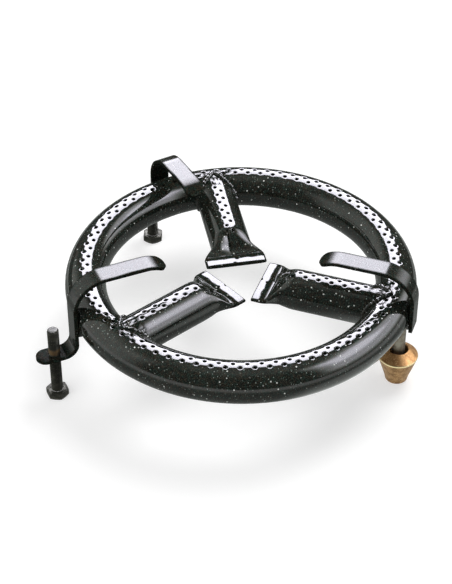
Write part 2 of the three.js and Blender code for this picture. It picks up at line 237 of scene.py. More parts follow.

# %% [markdown]
# ## Black bolts, tarnished brass and bare pipe
# The levelling bolts are black-oxide steel: dark, a little brown, gritty, rusty where they pass their tab
# and bare on the sawn end, which the mesh marks with a value named "bare". The mixer cup is turned brass
# that has dulled, so cloudy patches change both its colour and its gloss, fine rings from the lathe run
# round it, and its rim is rubbed bright: a pale, smoother band that is also a painted highlight, standing
# for the bright line that light draws along the rim. The pipe is bare steel, stained by heat.

# %% Bolts, brass and pipe
OXIDE, GRIT = ((0.028, 0.029, 0.023), (0.058, 0.058, 0.045)), (0.16, 0.155, 0.13)
RUST, BARE_END = (0.2, 0.125, 0.055), (0.075, 0.075, 0.07)
RUST_BAND = -27, -25.5, -22, -19         # mm from the ring's centre
TARNISH, PALE_SPECK = ((0.36, 0.2, 0.078), (0.21, 0.11, 0.042)), (0.5, 0.31, 0.14)
# pale, smooth brass for the rim: rubbed metal, and also a painted highlight of the rim's bright line
RUBBED_HIGHLIGHT_BRASS = (0.9, 0.74, 0.42)
RIM_HIGHLIGHT_BAND = 24.8, 25.3, 26.4, 26.8        # mm from the ground
STAIN = (0.24, 0.22, 0.18), (0.13, 0.1, 0.07)


def height_of(place):
    return place.node("ShaderNodeSeparateXYZ", {0: place}, output=2)


def black_oxide(place):
    patches = cloud(place, 6, 4).between(0.35, 0.7)
    grit = cloud(place, 0.7, 3)
    colour = grit.between(0.55, 0.75).mixed(patches.mixed(*OXIDE), GRIT)
    at_tab = band(height_of(place) - CENTRE.z, *RUST_BAND)
    colour = (at_tab * (patches * 0.6 + 0.25)).mixed(colour, RUST)
    colour = (painted(place, "bare") * 0.9).mixed(colour, BARE_END)
    return {"Base Color": colour, "Metallic": 0.55, "Roughness": 0.62 - patches * 0.2,
            "Normal": bumped(grit, 0.05)}


def turned_brass(place):
    patches = cloud(place, 6, 5).between(0.35, 0.68)
    specks = cloud(place, 1.1, 4).between(0.5, 0.66)
    stretched = place.node("ShaderNodeMapping", {"Vector": place, "Scale": (0.02, 0.02, 1.0)})
    lathe = cloud(stretched, 0.5, 2)
    colour = (specks * 0.75).mixed(patches.mixed(*TARNISH), PALE_SPECK)
    # the rim's band of rubbed brass is also a painted highlight: the bright line that light draws along the
    # rim
    rubbed = band(height_of(place), *RIM_HIGHLIGHT_BAND)
    colour = rubbed.mixed(colour, RUBBED_HIGHLIGHT_BRASS)
    return {"Base Color": colour, "Metallic": 0.85, "Roughness": patches * 0.14 + 0.46 - rubbed * 0.26,
            "Normal": bumped(lathe * 0.6 + cloud(place, 1.5, 2) * 0.4, 0.06)}


def stained_steel(place):
    stain = cloud(place, 5, 4).between(0.35, 0.7)
    return {"Base Color": stain.mixed(*STAIN), "Metallic": 0.9, "Roughness": stain * 0.25 + 0.3,
            "Normal": bumped(cloud(place, 1, 3), 0.04)}


BLACK_OXIDE = finish("black_oxide", black_oxide)
BRASS = finish("turned_brass", turned_brass)
PIPE_STEEL = finish("stained_steel", stained_steel)

# %% [markdown]
# ## From points to a piece
# Most pieces here are skins: rows of points joined by four-sided faces. Writing the points keeps every
# edge exactly where the real one is, which no primitive can. A small class collects them in millimetres,
# and a few functions turn them into a mesh in metres.

# %% Skins and pieces
class Skin:
    """Points in millimetres about the ring's centre, and the faces that join them."""

    def __init__(self):
        self.points, self.faces = [], []

    def row(self, points):
        start = len(self.points)
        self.points.extend(points)
        return list(range(start, len(self.points)))

    def strip(self, low, high):
        """Faces between two closed rows of the same length."""
        for i in range(len(low)):
            j = (i + 1) % len(low)
            self.faces.append((low[i], low[j], high[j], high[i]))

    def strips(self, rows):
        for low, high in zip(rows, rows[1:]):
            self.strip(low, high)

    def cap(self, row):
        middle = sum((Vector(self.points[i]) for i in row), Vector()) / len(row)
        (hub,) = self.row([middle])
        for i, index in enumerate(row):
            self.faces.append((index, row[(i + 1) % len(row)], hub))


def full_turn(count):
    """The angles of count equal steps round a circle."""
    return [2 * pi * k / count for k in range(count)]


def polar(radius, angle, height):
    return Vector((radius * cos(angle), radius * sin(angle), height))


def turned_about(points, angle, shift=(0, 0, 0)):
    turn = Matrix.Rotation(radians(angle), 3, "Z")
    return [turn @ Vector(p) + Vector(shift) for p in points]


def in_metres(points):
    return [Vector(p) * MM + CENTRE for p in points]


def mesh_from(bm, name):
    mesh = bpy.data.meshes.new(name)
    bm.to_mesh(mesh)
    bm.free()
    return mesh


def shade(mesh, crease):
    """Smooth, but sharp where faces meet at more than crease degrees."""
    mesh.shade_smooth()
    mesh.set_sharp_from_angle(angle=radians(crease))


def keep(bm, name, material, body, replaces=(), crease=40):
    """Writes a bmesh that is in metres as a piece of the burner."""
    bmesh.ops.remove_doubles(bm, verts=bm.verts, dist=1e-6)
    bmesh.ops.recalc_face_normals(bm, faces=bm.faces)
    mesh = mesh_from(bm, name)
    shade(mesh, crease)
    mesh.materials.append(material)
    piece = linked(name, mesh)
    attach(piece, body)
    if replaces:
        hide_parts(*replaces)
    print(f"{name}: {len(mesh.polygons)} faces")
    return piece


def add_skin(bm, skin, angle, shift, layer, value):
    """Adds a skin to a bmesh, in metres, and writes value(point) to a layer of its points."""
    corners = [bm.verts.new(p) for p in in_metres(turned_about(skin.points, angle, shift))]
    for corner, point in zip(corners, skin.points if value else []):
        corner[layer] = value(point)
    for face in skin.faces:
        if len(set(face)) > 2:
            bm.faces.new([corners[i] for i in face])


def skin_piece(skin, name, replaces=(), material=ENAMEL, angle=0, shift=(0, 0, 0), crease=40,
               dull=None):
    """A piece of the fixed body. dull(point) gives how rubbed its finish is, from 0 to 1."""
    bm = bmesh.new()
    add_skin(bm, skin, angle, shift, bm.verts.layers.float.new("dull"), dull)
    return keep(bm, name, material, "burner", replaces, crease)


# %% [markdown]
# ## A tube with ports drilled along its crown
# Cutting 180 holes with booleans would leave ragged shading on a surface that mirrors a window. So the
# tube is laid out as a grid, s along it and t round it from the crown, and each port takes the place of
# a block of grid faces: rings of 32 points go from the block's edge to the port, over its rounded rim
# and down its wall. Melted enamel creeps into a hole, so the surface sinks a tenth of a millimetre round
# each port, and the window's white bends round it.

# %% Ported tubes
HALF_PITCH_STEPS = 4
HALF_ROW_STEPS = 4
STEPS_PER_PITCH = 2 * HALF_PITCH_STEPS
ROW_STEP = 0.575      # mm between grid lines near the crown; a port row lies four steps off the crown
COARSE_STEP, COARSE_GROWTH, COARSEST = 0.8, 1.15, 3.4      # mm between grid lines farther down
LAST_GAP = 1.5        # mm, the least between the lowest grid line and the one beside it
PORT_RINGS = [        # reach along the tube, reach round it, depth
    (3.7, 2.27, 0), (3.0, 2.25, 0), (2.5, 2.2, 0), (2.15, 2.1, 0), (1.98, 1.98, 0), (1.86, 1.86, 0.03),
    (1.72, 1.72, 0.08), (1.6, 1.6, 0.14), (1.5, 1.5, 0.22), (1.43, 1.43, 0.36), (1.4, 1.4, 0.55),
    (1.4, 1.4, 2.2)]
SINK, SINK_FULL, SINK_FADE = 0.11, 2.0, 1.2      # its depth, full to this distance, then fading over this one
SINK_STEPS = 3                                   # grid steps that it reaches


def sunk(away):
    """How far the enamel is drawn down round a port, at a distance from the port's middle, in mm."""
    return SINK * max(0.0, (SINK_FULL + SINK_FADE - max(away, SINK_FULL)) / SINK_FADE) ** 2


def ease(x):
    """0 below 0, 1 above 1 and smooth in between."""
    x = min(max(x, 0.0), 1.0)
    return x * x * x * (x * (6 * x - 15) + 10)


def around_stations():
    """Places round the tube in mm from the crown, fine near the ports and coarser below."""
    side = [ROW_STEP * i for i in range(1, 2 * HALF_ROW_STEPS + 1)]
    step = COARSE_STEP
    while side[-1] + step < pi * TUBE:
        side.append(side[-1] + step)
        step = min(step * COARSE_GROWTH, COARSEST)
    side = [t for t in side if t < pi * TUBE - LAST_GAP]
    return [0.0] + side + [pi * TUBE] + [-t for t in reversed(side)]


def port_block():
    """Grid offsets round a port's block, anticlockwise from its +s side."""
    a, b = HALF_PITCH_STEPS, HALF_ROW_STEPS
    rim = [(i, j) for i in range(-a, a + 1) for j in range(-b, b + 1) if abs(i) == a or abs(j) == b]
    return sorted(rim, key=lambda spot: atan2(spot[1], spot[0]) % (2 * pi))


def ported_skin(place, along, ports, step, closed):
    """place(s, t, depth) is a point of the tube; ports are their middles on the grid, along and round."""
    skin, around = Skin(), around_stations()
    n, m = len(along), len(around)
    half_s, half_t = HALF_PITCH_STEPS, HALF_ROW_STEPS
    made, covered, block, low = {}, set(), port_block(), {}

    for i, j in ports:
        for a in range(-SINK_STEPS, SINK_STEPS + 1):
            for b in range(-half_t - SINK_STEPS, half_t + SINK_STEPS + 1):
                key = (i + a) % n, (j + b) % m
                away = hypot(a * step, around[key[1]] - j * ROW_STEP)
                low[key] = max(low.get(key, 0.0), sunk(away))
        for a in range(-half_s, half_s):
            covered.update(((i + a) % n, (j + b) % m) for b in range(-half_t, half_t))

    def corner(i, j):
        key = (i % n if closed else i, j % m)
        if key not in made:
            made[key] = skin.row([place(along[key[0]], around[key[1]], low.get(key, 0.0))])[0]
        return made[key]

    for i in range(n if closed else n - 1):
        for j in range(m):
            if (i, j) not in covered:
                skin.faces.append((corner(i, j), corner(i + 1, j), corner(i + 1, j + 1), corner(i, j + 1)))
    for i, j in ports:
        s, t = along[i], j * ROW_STEP
        last = [corner(i + a, j + b) for a, b in block]
        for reach, rise, depth in PORT_RINGS:
            ring = []
            for turn in full_turn(len(block)):
                ds, dt = reach * cos(turn), rise * sin(turn)
                ring.append(place(s + ds, t + dt, depth + sunk(hypot(ds, dt))))
            ring = skin.row(ring)
            skin.strip(last, ring)
            last = ring
    return skin


# %% [markdown]
# ## The ring
# The ring is the same tube bent round and closed. Its two rows are staggered by half a pitch, 72 ports to
# a row. Weld metal lies in lumps on its inner side near each spoke, with broken glass over it, and the
# enamel under the arm at the back was burnt dull.

# %% Ring tube
PORTS_PER_ROW = 72
STEPS = PORTS_PER_ROW * STEPS_PER_PITCH
WELD_REACH = {"back": 0.02, "left": 0.02, "right": -0.18}      # radians over the crown that a weld climbs
UNDERSIDE = 2.6             # radians from the crown, past which there is no weld metal
LUMP_HEIGHTS, LUMP_SIZE = (0.22, 0.5, 0.2), 0.28
RIPPLE, RIPPLE_SIZE = 0.02, 0.15
ring_length = 2 * pi * RING
ring_along = [ring_length * i / STEPS for i in range(STEPS)]


def degrees_off(angle, mark):
    """Degrees between an angle in radians and a mark in degrees, whichever way is shorter."""
    return abs((degrees(angle) - mark + 180) % 360 - 180)


def nearest_spoke(angle):
    side = min(SPOKES, key=lambda name: degrees_off(angle, SPOKES[name]))
    return degrees_off(angle, SPOKES[side]), WELD_REACH[side]


def broken(point):
    """Where the glass on weld metal has come off, 0 or 1 with a short way between."""
    return ease((noise(point * 0.4) + 0.12) / 0.16)


def weld_lumps(angle, tilt):
    """How far weld metal stands proud of the ring's inner side, near a spoke, in mm."""
    away, reach = nearest_spoke(angle)
    if abs(tilt) >= UNDERSIDE:
        return 0.0
    near = (1 - ease((away - 6) / 5)) * (1 - ease((tilt - reach + 0.17) / 0.35))
    spot = Vector((angle * RING, tilt * TUBE, 0)) * LUMP_SIZE
    base, coarse, fine = LUMP_HEIGHTS
    return near * (base + coarse * noise(spot) + fine * noise(spot * 2.3))


def ring_wear(point):
    """Dull, broken glass on the weld metal, and burnt enamel under the arm at the back."""
    out = hypot(point.x, point.y)
    angle, tilt = atan2(point.y, point.x), atan2(out - RING, point.z)
    away, reach = nearest_spoke(angle)
    near = (1 - ease((away - 6.5) / 4)) * (1 - ease((tilt - reach) / 0.2))
    burnt = (1 - ease((degrees_off(angle, BRACKETS["back"][0]) - 4) / 2)) * ease((tilt + 0.65) / 0.35)
    return max(burnt, near * broken(point))


def on_ring(s, t, depth):
    angle, tilt = s / RING, t / TUBE
    wave = noise(polar(RING, angle, t) * RIPPLE_SIZE)
    reach = TUBE - depth + weld_lumps(angle, tilt) - RIPPLE * (1 + wave)
    return polar(RING + reach * sin(tilt), angle, reach * cos(tilt))


ring_ports = [(STEPS_PER_PITCH * k, HALF_ROW_STEPS) for k in range(PORTS_PER_ROW)]
ring_ports += [(i + HALF_PITCH_STEPS, -j) for i, j in ring_ports]
ring_skin = ported_skin(on_ring, ring_along, ring_ports, ring_along[1], True)
skin_piece(ring_skin, "ring", ["ring_tube"], crease=60, dull=ring_wear)

# %% [markdown]
# ## The spokes
# Each spoke is a length of tube whose inner end was pressed flat in a die: round at the ring, then a
# flare that gets wider as it gets thinner, then a flat lip about two walls thick. The die leaves two
# small pinches in the lip and a crease up the flare. The section is a superellipse whose width, height
# and squareness change along s, which gives pressed corners.

# %% Spokes
LIP, LIP_DEPTH, FLARE = 17.5, 8.0, 27.0        # where the lip starts, then the lengths of lip and flare
LIP_HALF_WIDTH, LIP_HALF_HEIGHT, LIP_ROUND = 26.5, 2.0, 0.9
WIDENS_FROM, WIDENS_OVER = 43, 17.5
SPOKE_PITCH, PORTS_PER_SPOKE_ROW = 11.4, 6
PINCHES = ((0.3, 1.3), (7.0, -1.3))            # each pinch, from the lip's edge and from its middle
PINCH_DEPTH, PINCH_LENGTH, PINCH_WIDTH = 1.1, 2.2, 1.5
CREASE_FROM, CREASE_TO, CREASE_ASIDE = 27, 44, 2.2
flare_start = LIP + LIP_DEPTH + FLARE
spoke_end = RING - 0.6


def on_spoke(s, t, depth):
    turn, flat = t / TUBE, ease((flare_start - s) / FLARE)
    power = 2 / (1 - 0.6 * min(1.0, 1.3 * flat))
    width = TUBE + (LIP_HALF_WIDTH - TUBE) * ease((WIDENS_FROM - s) / WIDENS_OVER) - depth
    height = TUBE + (LIP_HALF_HEIGHT - TUBE) * flat - depth
    across = sin(turn)
    rise = copysign(max(0.0, 1 - abs(across) ** power) ** (1 / power), cos(turn))
    y, z = width * across, height * rise
    if s < LIP + LIP_ROUND:                      # the lip's edge is rounded over
        pull = 1 - sqrt(max(0.0, 1 - (1 - (s - LIP) / LIP_ROUND) ** 2))
        z *= 1 - 0.55 * pull
        y -= copysign(0.5 * pull, y) * abs(across)
    aside = y - CREASE_ASIDE                     # the crease is steep on one side and shallow on the other
    side = max(0.0, 1 - aside / 10) ** 1.3 if aside > 0 else 1 - ease(-aside / 0.7)
    deep = 1.6 + 2.2 * ease((s - CREASE_FROM - 4) / 8)
    crease = ease((s - CREASE_FROM) / 3) * (1 - ease((s - CREASE_TO) / 4)) * deep * side
    pinch = max(1 - ease(hypot((s - LIP - back) / PINCH_LENGTH, (y - middle) / PINCH_WIDTH))
                for back, middle in PINCHES)
    z -= (crease if z > 0 else 0) + copysign(PINCH_DEPTH * pinch, z) * min(1.0, abs(z) / 1.2)
    return Vector((s, y, z))


def lip_wear(point):
    """Thin enamel over the lip's edges, in its pinches and where it meets the flare, broken at the weld."""
    back = point.x - LIP
    weld = ease((point.x - RING + TUBE + 6) / 6) * broken(point)
    if back > LIP_DEPTH + 6:
        return max(weld, 1 - ease(hypot((back - 26.5) / 4, (point.y - 2.7) / 0.9) - 0.4))
    edges = 1 - ease((back - 0.7) / 0.5), ease((abs(point.y) - LIP_HALF_WIDTH + 2.0) / 1.0)
    pinched = max(1 - ease(hypot((back - at) / 1.9, (point.y - middle) / 1.2) - 0.4)
                  for at, middle in PINCHES)
    ragged = 6.0 + (0.5 if point.y > 0 else -0.3) + 0.9 * noise(Vector((point.y * 0.16, 3.1, 0)))
    return max(*edges, pinched, ease((back - ragged) / 0.8) * (1 - ease((back - 10.5) / 3)))


LIP_STATIONS = 0, 0.12, 0.35, 0.7, 1.1, 1.8, 2.8, 4.0, 4.8, 5.4, 5.9, 6.4, 6.9, 7.4
FLARE_STATIONS, ROOT_STATIONS = 26, 6
HALF_PITCHES = 13           # half pitches between the flare and the ring, all but the outer two with ports


def spoke_stations():
    """Lip, flare, the straight, whose steps are an eighth of the port pitch, and the root."""
    root, flare = RING - TUBE, LIP + LIP_DEPTH
    ported_from = root - HALF_PITCHES * SPOKE_PITCH / 2
    stations = [LIP + v for v in LIP_STATIONS]
    stations += [flare + (ported_from - flare) * i / FLARE_STATIONS for i in range(FLARE_STATIONS)]
    first_ported = len(stations)
    steps = HALF_PITCHES * HALF_PITCH_STEPS
    stations += [ported_from + SPOKE_PITCH / STEPS_PER_PITCH * i for i in range(steps + 1)]
    stations += [root + (spoke_end - root) * (i + 1) / ROOT_STATIONS for i in range(ROOT_STATIONS)]
    return stations, first_ported + steps - HALF_PITCH_STEPS


spoke_along, outermost = spoke_stations()
spoke_ports = [(outermost - STEPS_PER_PITCH * k, HALF_ROW_STEPS) for k in range(PORTS_PER_SPOKE_ROW)]
spoke_ports += [(i - HALF_PITCH_STEPS, -j) for i, j in spoke_ports]
spoke_skin = ported_skin(on_spoke, spoke_along, spoke_ports, SPOKE_PITCH / STEPS_PER_PITCH, False)
lip_edge = [i for i, p in enumerate(spoke_skin.points) if abs(p.x - LIP) < 1e-6]
lip_edge.sort(key=lambda i: atan2(spoke_skin.points[i].z, spoke_skin.points[i].y))
spoke_skin.cap(lip_edge)
for side, angle in SPOKES.items():
    skin_piece(spoke_skin, f"spoke_tube_{side}", [f"spoke_{side}"], angle=angle, crease=60, dull=lip_wear)

# %% [markdown]
# ## Weld beads
# A spoke meets the ring in a saddle-shaped curve, and the welder ran a bead along it. The curve is worked
# out from the two tubes, and the bead is a small tube swept along it whose radius swells and shrinks with
# each puddle of metal, under the same enamel.

# %% Weld beads
BEAD_SIDES, SADDLE_STEPS = 10, 150


def bead(path, radius, seed):
    """A lumpy closed bead along a list of points."""
    skin, rows = Skin(), []
    count = len(path)
    for i, point in enumerate(path):
        ahead = (path[(i + 1) % count] - path[i - 1]).normalized()
        side = ahead.cross(Vector((0.31, 0.17, 0.93))).normalized()
        other = ahead.cross(side)
        lump = 1 + 0.16 * sin(i * 1.9 + seed) + 0.5 * noise(point * 0.35 + Vector((seed, 0, 0)))
        ring = []
        for k, a in enumerate(full_turn(BEAD_SIDES)):
            wobble = radius * lump * (1 + 0.25 * noise(Vector((i * 0.6, k * 1.3, seed))))
            ring.append(point + (side * cos(a) + other * sin(a)) * wobble)
        rows.append(skin.row(ring))
    skin.strips(rows + rows[:1])
    return skin


def saddle():
    """Where a spoke's round tube meets the inside of the ring."""
    path = []
    for i in range(SADDLE_STEPS):
        turn = 2 * pi * (i + 0.5) / SADDLE_STEPS
        y, z = TUBE * sin(turn), TUBE * cos(turn)
        out = RING - TUBE * abs(sin(turn))
        path.append(Vector((sqrt(out * out - y * y), y, z)))
    return path


for seed, (side, angle) in enumerate(SPOKES.items()):
    path = [p + Vector((-0.9, 0, 0)) for p in saddle()]
    skin_piece(bead(path, radius=2.3, seed=3.1 * seed), f"weld_{side}", angle=angle, crease=80)

# %% [markdown]
# ## The pot brackets
# Each bracket is a flat bar, 17 by 3 mm, bent over a former: an arm that rises from a dipped tip, a bend,
# a leg down the outside and, on two of them, a foot tab. It is made the way the smith makes it. The flat
# blank gets its rounded ends and bolt hole, is sliced where it will bend, thickened and bevelled, and then
# every point is carried along the bent path. The bevel comes first because it stays even through the bend.

# %% Bent bars
BAR_WIDTH, BAR_THICKNESS = 17.0, 3.0
ARM_TOP, TIP_LENGTH, TIP_DROP = 43.5, 9.5, 6.0
LEG_RADIUS, TAB_DEPTH, PLAIN_LEG_DEPTH = 151.8, 28.5, 13.5
BOLT_RADIUS, TAB_END, TAB_HOLE = 169.8, 185.8, 5.3
TIP_BEND, SHOULDER_BEND, TAB_BEND = 30, 28, 11
TIP_CORNER, LEG_CORNER = 7.0, 1.2
SLICE, BEVEL_LINES, BEVEL = 1.5, (-6.6, 0, 6.6), 1.1


def bent_path(tip, foot):
    """The bar's middle as straight runs and arcs: (length, point, heading, curvature) in x and z."""
    arm = ARM_TOP - BAR_THICKNESS / 2
    knots = [((tip, arm - TIP_DROP), 0), ((tip + TIP_LENGTH, arm), TIP_BEND)]
    knots.append(((LEG_RADIUS, arm), SHOULDER_BEND))
    if foot:
        knots += [((LEG_RADIUS, -TAB_DEPTH), TAB_BEND), ((TAB_END, -TAB_DEPTH), 0)]
    else:
        knots.append(((LEG_RADIUS, -PLAIN_LEG_DEPTH), 0))
    pieces, start = [], Vector(knots[0][0])
    for i in range(1, len(knots)):
        corner, radius = Vector(knots[i][0]), knots[i][1]
        inward = (corner - Vector(knots[i - 1][0])).normalized()
        heading = atan2(inward.y, inward.x)
        if radius == 0:
            pieces.append(((corner - start).length, start, heading, 0))
            break
        outward = (Vector(knots[i + 1][0]) - corner).normalized()
        bend = atan2(inward.x * outward.y - inward.y * outward.x, inward.dot(outward))
        trim = radius * tan(abs(bend) / 2)
        end = corner - inward * trim
        pieces.append(((end - start).length, start, heading, 0))
        pieces.append((radius * abs(bend), end, heading, copysign(1 / radius, bend)))
        start = corner + outward * trim
    return pieces


def on_path(pieces, s):
    """The point and heading of the bar's middle at length s."""
    for length, start, heading, curve in pieces:
        if s <= length + 1e-9 or (length, start, heading, curve) == pieces[-1]:
            break
        s -= length
    if curve == 0:
        return start + Vector((cos(heading), sin(heading))) * s, heading
    centre = start + Vector((-sin(heading), cos(heading))) / curve
    turned = heading + s * curve
    return centre + Vector((sin(turned), -cos(turned))) / curve, turned


def blank_outline(length, foot):
    """The bar before bending: x along it and y across, with a softly rounded tip and a round foot."""
    half = BAR_WIDTH / 2
    end_corner = half - 0.01 if foot else LEG_CORNER

    def quarter(x, y, radius, start):
        turns = [radians(start + 90 * k / 12) for k in range(13)]
        return [(x + radius * cos(a), y + radius * sin(a)) for a in turns]

    outline = quarter(TIP_CORNER, half - TIP_CORNER, TIP_CORNER, 90)
    outline += quarter(TIP_CORNER, TIP_CORNER - half, TIP_CORNER, 180)
    outline += quarter(length - end_corner, end_corner - half, end_corner, 270)
    return outline + quarter(length - end_corner, half - end_corner, end_corner, 0)


def bar_wear(s, across, length, foot):
    """How dull the bar's enamel is: thin over every edge, and rubbed off the tip and the bolt's tab."""
    corner = TIP_CORNER if s < length / 2 else BAR_WIDTH / 2 if foot else LEG_CORNER
    from_end = min(s, length - s)
    over = Vector((max(corner - from_end, 0), max(abs(across) - BAR_WIDTH / 2 + corner, 0)))
    inside = corner - over.length if over.length else min(from_end, BAR_WIDTH / 2 - abs(across))
    edge = 1 - ease((inside - 0.9) / 0.7)
    tip = 1 - ease((s - 8) / 9)
    tab = ease((s - length + 34) / 8) if foot else 0
    return max(edge, 0.96 * tip, 0.96 * tab)


def bent_bar(tip, foot):
    """A bracket as a bmesh, in mm, with its arm along x."""
    pieces = bent_path(tip, foot)
    length = sum(piece[0] for piece in pieces)
    bm = bmesh.new()
    loops = [blank_outline(length, foot)]
    if foot:
        middle = length - (TAB_END - BOLT_RADIUS)
        loops.append([(middle + TAB_HOLE * cos(a), TAB_HOLE * sin(a)) for a in full_turn(40)])
    edges = []
    for loop in loops:
        corners = [bm.verts.new((x, y, 0)) for x, y in loop]
        edges += [bm.edges.new((corners[i - 1], corners[i])) for i in range(len(corners))]
    bmesh.ops.triangle_fill(bm, use_beauty=True, use_dissolve=False, edges=edges)
    bmesh.ops.dissolve_limit(bm, angle_limit=0.01, verts=bm.verts, edges=bm.edges)
    cuts = [((k * SLICE, 0, 0), (1, 0, 0)) for k in range(1, int(length / SLICE))]
    cuts += [((0, across, 0), (0, 1, 0)) for across in BEVEL_LINES]
    for spot, direction in cuts:
        geometry = bm.verts[:] + bm.edges[:] + bm.faces[:]
        bmesh.ops.bisect_plane(bm, geom=geometry, plane_co=spot, plane_no=direction, dist=1e-4)
    for face in bm.faces:
        if face.normal.z < 0:
            face.normal_flip()
    raised = bmesh.ops.extrude_face_region(bm, geom=bm.faces[:])["geom"]
    for vert in (g for g in raised if isinstance(g, bmesh.types.BMVert)):
        vert.co.z = BAR_THICKNESS
    bmesh.ops.recalc_face_normals(bm, faces=bm.faces)
    rim = [e for e in bm.edges if len(e.link_faces) == 2 and e.calc_face_angle(0) > 1.2]
    rim = [e for e in rim if abs(e.verts[0].co.z - e.verts[1].co.z) < 0.1]
    bmesh.ops.bevel(bm, geom=rim, offset=BEVEL, segments=4, profile=0.5, affect="EDGES", clamp_overlap=True)
    layer = bm.verts.layers.float.new("dull")
    for vert in bm.verts:
        s, across, height = vert.co
        vert[layer] = bar_wear(s, across, length, foot)
        point, heading = on_path(pieces, s)
        rise = height - BAR_THICKNESS / 2
        vert.co = (point.x - sin(heading) * rise, across, point.y + cos(heading) * rise)
    return bm


for side, (angle, tip, foot) in BRACKETS.items():
    bar = bent_bar(tip, foot)
    for vert in bar.verts:
        vert.co = in_metres(turned_about([vert.co], angle))[0]
    piece = keep(bar, f"bar_{side}", BAR_ENAMEL, "burner", [f"bracket_{side}"], crease=50)
    piece.modifiers.new("even shading", "WEIGHTED_NORMAL").keep_sharp = True

# %% [markdown]
# ## The lugs that hold the legs
# A short lug stands between each leg and the ring, buried in weld metal and enamel. Here it is a rounded
# block whose surface has been pushed about by noise, fitted between the leg's face and the tube.

# %% Lugs
LUG_WIDTH, LUG_LOW, LUG_HIGH, LUG_OUT = 12.0, -13.5, -5.0, 150.2
LUG_IN = {True: 141.0, False: 147.4}       # with a foot tab, and without one
LUG_LEVELS, LUG_SIDES, LUG_SQUARE = 24, 40, 0.45


def lug(inner, seed):
    """A rounded, lumpy block from radius inner to the leg, drawn on the x axis."""
    skin, rows, middle = Skin(), [], (inner + LUG_OUT) / 2
    for level in range(LUG_LEVELS + 1):
        rise = level / LUG_LEVELS
        z = LUG_LOW + (LUG_HIGH - LUG_LOW) * rise
        shrink = (1 - abs(2 * rise - 1) ** 6) ** 0.5 if 0 < rise < 1 else 0.0
        ring = []
        for a in full_turn(LUG_SIDES):
            x = copysign(abs(cos(a)) ** LUG_SQUARE, cos(a)) * (LUG_OUT - inner) / 2
            y = copysign(abs(sin(a)) ** LUG_SQUARE, sin(a)) * LUG_WIDTH / 2
            lump = 1 - 0.1 * abs(noise(Vector((x, y, z)) * 0.33 + Vector((seed, 0, 0))))
            ring.append(Vector((middle + x * (0.55 + 0.45 * shrink), y * lump * (0.35 + 0.65 * shrink), z)))
        rows.append(skin.row(ring))
    skin.strips(rows)
    skin.cap(rows[0])
    skin.cap(rows[-1])
    return skin


for seed, (side, (angle, _, foot)) in enumerate(BRACKETS.items()):
    skin_piece(lug(LUG_IN[foot], 7.0 * seed), f"weld_lug_{side}", [f"ring_lug_{side}"], angle=angle)

# %% [markdown]
# ## Levelling bolts
# Both are M10 bolts standing on their heads. The head is a hexagon whose corners were turned off at 28
# degrees, so each flat ends in a curved edge: at every angle the face falls off where the hexagon passes
# the flat circle. The thread is a true helix: each row of points follows the groove, one turn to a pitch,
# and is held level at the two ends.

# %% Bolts
HEAD_FLATS, HEAD_HEIGHT, HEAD_SIDES, TURNED_OFF = 17.0, 6.4, 120, radians(28)
THREAD_PITCH, CREST, ROOT, SHANK_SIDES = 1.5, 4.92, 4.2, 48
GROOVE = (0, 0.0), (0.12, 0.0), (0.42, 1.0), (0.5, 1.0), (0.58, 1.0), (0.88, 0.0)   # part of a pitch, depth
CHAMFER_LENGTH, CHAMFER_RADIUS, CHAMFER_SLOPE, TIP_ROUND = 1.2, 4.9, 0.9, 0.05
SHANK_LENGTHS = {"back": 50.0, "left": 65.0}


def disc(skin, radius, height, angles):
    return skin.row([polar(radius, a, height) for a in angles])


def hex_head():
    """Rings of points over the head, from the middle of its sole to its shank."""
    skin, around = Skin(), full_turn(HEAD_SIDES)
    flat, top = HEAD_FLATS / 2, GROUND + HEAD_HEIGHT
    face = flat * 0.985                     # radius of the flat circle that the cones leave

    def edge(a):
        return flat / cos((a + pi / 6) % (pi / 3) - pi / 6)

    def rim(height, inward):
        drops = [inward * max(0.0, edge(a) - face) * tan(TURNED_OFF) for a in around]
        return skin.row([polar(edge(a), a, height + drop) for a, drop in zip(around, drops)])

    rows = [disc(skin, radius, GROUND, around) for radius in (1.5, face * 0.7, face)]
    rows += [rim(GROUND, 1), rim(top, -1)]
    rows += [disc(skin, radius, top, around) for radius in (face, 5.2)]
    skin.strips(rows)
    skin.cap(rows[0])
    return skin


def threaded_shank(length):
    """Rows of points that climb with the groove. A row's height is its turn's share of the pitch."""
    skin, rows, foot = Skin(), [], GROUND + HEAD_HEIGHT
    top = foot + length
    for n in range(-1, int(length / THREAD_PITCH) + 1):
        for share, depth in GROOVE:
            ring = []
            for k in range(SHANK_SIDES):
                climb = k / SHANK_SIDES
                z = foot + (n + share + climb) * THREAD_PITCH
                level = min(max(z, foot), top - TIP_ROUND)
                radius = CREST - (CREST - ROOT) * depth
                if z > top - CHAMFER_LENGTH:
                    radius = min(radius, CHAMFER_RADIUS - (level - (top - CHAMFER_LENGTH)) * CHAMFER_SLOPE)
                ring.append(polar(radius, 2 * pi * climb, level))
            rows.append(skin.row(ring))
    for low, high in zip(rows, rows[1:]):
        for k in range(SHANK_SIDES - 1):
            skin.faces.append((low[k], low[k + 1], high[k + 1], high[k]))
    pitch = len(GROOVE)                     # rows from one turn of the helix to the next, where it closes
    for i in range(len(rows) - 1 - pitch):
        low, high, after_low, after_high = (rows[i + step] for step in (0, 1, pitch, pitch + 1))
        skin.faces.append((low[-1], after_low[0], after_high[0], high[-1]))
    return skin


def bolt_end(length):
    """The chamfered tip, a shallow cone with a flat top."""
    skin, top, around = Skin(), GROUND + HEAD_HEIGHT + length, full_turn(SHANK_SIDES)
    rows = [disc(skin, *ring, around) for ring in ((3.82, top - TIP_ROUND), (3.6, top), (2.0, top))]
    skin.strips(rows)
    skin.cap(rows[-1])
    return skin


